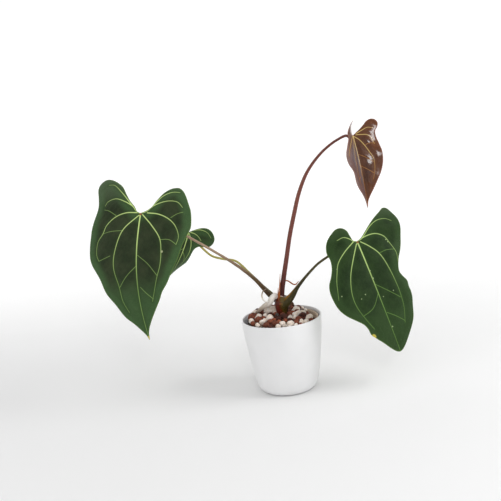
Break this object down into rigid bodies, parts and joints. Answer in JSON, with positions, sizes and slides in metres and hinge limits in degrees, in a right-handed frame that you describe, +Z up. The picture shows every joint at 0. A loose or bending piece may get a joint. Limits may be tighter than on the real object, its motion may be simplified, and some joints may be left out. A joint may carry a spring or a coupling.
{
  "type": "potted anthurium hybrid",
  "caption": "Velvet-leaved anthurium with heart-shaped blades on long stalks, a young folded leaf, in a clear nursery pot inside a plain round cover pot.",
  "frame": {"origin": "middle of the cover pot's flat base, on the surface it stands on", "axes": "+Z up; +X to the right as the leaf faces are seen, the way the leaves spread; +Y away from the side the leaves face"},
  "size_m": [0.5291, 0.1458, 0.4466],
  "materials": {
    "white_pot": "satin white moulded plastic",
    "clear_pot": "thin clear plastic, a little clouded",
    "substrate": "clay balls, cream pumice and dark lava, dry and porous",
    "crown": "olive stem with maroon flecks",
    "left_stalk": "smooth skin, pinkish brown to olive",
    "back_stalk": "smooth skin, yellowish olive",
    "right_stalk": "smooth skin, dark olive",
    "young_stalk": "smooth skin, red-brown",
    "green_blade": "velvety dark green with pale green veins",
    "brown_blade": "glossy chocolate brown with orange veins",
    "bract": "dry papery sheath",
    "root": "matt pale velvety root skin"
  },
  "bodies": {
    "root": {"cover_pot": "white_pot", "nursery_pot": "clear_pot", "substrate": "substrate", "crown": "crown", "left_leaf_stalk": "left_stalk", "back_leaf_stalk": "back_stalk", "right_leaf_stalk": "right_stalk", "young_leaf_stalk": "young_stalk", "left_leaf_blade": "green_blade", "right_leaf_blade": "green_blade", "back_leaf_blade": "green_blade", "young_leaf_blade": "brown_blade", "tall_bract": "bract", "short_bract": "bract", "bract_thread": "bract", "aerial_root": "root", "root_loop": "root"}
  },
  "joints": []
}
